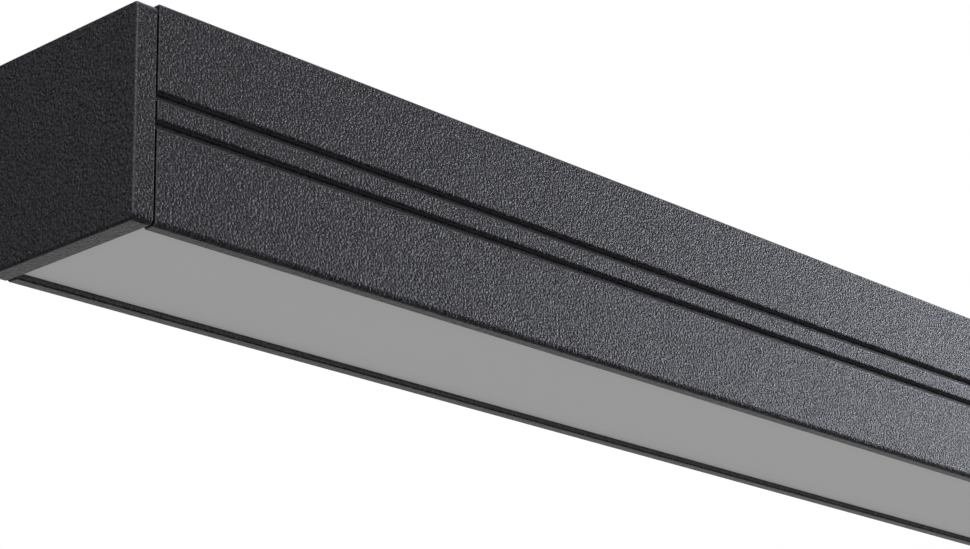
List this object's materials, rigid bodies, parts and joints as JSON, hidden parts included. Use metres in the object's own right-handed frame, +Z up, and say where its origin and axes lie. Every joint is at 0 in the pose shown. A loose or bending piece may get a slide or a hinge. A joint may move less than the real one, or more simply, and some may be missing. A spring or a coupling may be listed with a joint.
{
  "type": "led strip batten",
  "caption": "Slim square black ceiling batten light: grooved aluminium extrusion with push-in end caps, recessed opal diffuser, LED boards, driver and sliding ceiling clips.",
  "frame": {"origin": "middle of the ceiling plane that the top faces of the two ceiling clips meet", "axes": "+X along the length towards the right end cap, +Y across, +Z up into the ceiling"},
  "size_m": [0.6, 0.035, 0.0362],
  "materials": {
    "textured_black": "coarse textured matt powder coat",
    "opal_acrylic": "satin opal",
    "white_sheet": "white reflector paint",
    "white_board": "white solder mask on aluminium",
    "zinc_steel": "zinc plated",
    "spring_steel": "bright spring steel",
    "tinned_copper": "tinned",
    "green_board": "green solder mask",
    "ferrite": "sintered ferrite",
    "sleeve_blue": "shrink sleeve",
    "white_nylon": "moulded",
    "grey_nylon": "moulded",
    "orange_nylon": "moulded",
    "black_rubber": "matt",
    "brown_lead": "insulated lead",
    "blue_lead": "insulated lead",
    "green_lead": "insulated lead",
    "red_lead": "insulated lead",
    "black_lead": "insulated lead"
  },
  "bodies": {
    "housing": {"body": "textured_black", "reflector_tray": "white_sheet", "led_board_left": "white_board", "led_board_right": "white_board", "connector_in": "white_nylon", "connector_link_left": "white_nylon", "connector_link_right": "white_nylon", "board_screw_1": "zinc_steel", "board_screw_2": "zinc_steel", "board_screw_3": "zinc_steel", "board_screw_4": "zinc_steel", "board_screw_5": "zinc_steel", "board_screw_6": "zinc_steel", "driver_base": "zinc_steel", "driver_cover": "zinc_steel", "driver_circuit_board": "green_board", "driver_transformer": "ferrite", "driver_choke": "ferrite", "driver_capacitor": "sleeve_blue", "driver_screw_left": "zinc_steel", "driver_screw_right": "zinc_steel", "web_grommet": "black_rubber", "terminal_block": "grey_nylon", "terminal_screw": "zinc_steel", "earth_tag": "tinned_copper", "earth_screw": "zinc_steel", "led_lead_plus": "red_lead", "led_lead_minus": "black_lead", "link_lead_plus": "red_lead", "link_lead_minus": "black_lead", "live_lead": "brown_lead", "neutral_lead": "blue_lead", "earth_lead": "green_lead"},
    "diffuser": {"diffuser": "opal_acrylic"},
    "end_cap_left": {"end_cap_left": "textured_black"},
    "end_cap_right": {"end_cap_right": "textured_black"},
    "ceiling_clip_left": {"ceiling_clip_left": "spring_steel"},
    "ceiling_clip_right": {"ceiling_clip_right": "spring_steel"},
    "button_live": {"button_live": "orange_nylon"},
    "button_earth": {"button_earth": "orange_nylon"},
    "button_neutral": {"button_neutral": "orange_nylon"}
  },
  "joints": [
    {"name": "diffuser_drop", "type": "slide", "parent": "housing", "child": "diffuser", "axis": [0, 0, -1], "range_m": [0, 0.06]},
    {"name": "end_cap_left_pull", "type": "slide", "parent": "housing", "child": "end_cap_left", "axis": [-1, 0, 0], "range_m": [0, 0.03]},
    {"name": "end_cap_right_pull", "type": "slide", "parent": "housing", "child": "end_cap_right", "axis": [1, 0, 0], "range_m": [0, 0.03]},
    {"name": "clip_left_slide", "type": "slide", "parent": "housing", "child": "ceiling_clip_left", "axis": [1, 0, 0], "range_m": [-0.09, 0.15]},
    {"name": "clip_right_slide", "type": "slide", "parent": "housing", "child": "ceiling_clip_right", "axis": [1, 0, 0], "range_m": [-0.15, 0.09]},
    {"name": "button_live_press", "type": "slide", "parent": "housing", "child": "button_live", "axis": [0, 0, -1], "range_m": [0, 0.0009], "stiffness_N_per_m": 300},
    {"name": "button_earth_press", "type": "slide", "parent": "housing", "child": "button_earth", "axis": [0, 0, -1], "range_m": [0, 0.0009], "stiffness_N_per_m": 300},
    {"name": "button_neutral_press", "type": "slide", "parent": "housing", "child": "button_neutral", "axis": [0, 0, -1], "range_m": [0, 0.0009], "stiffness_N_per_m": 300}
  ]
}
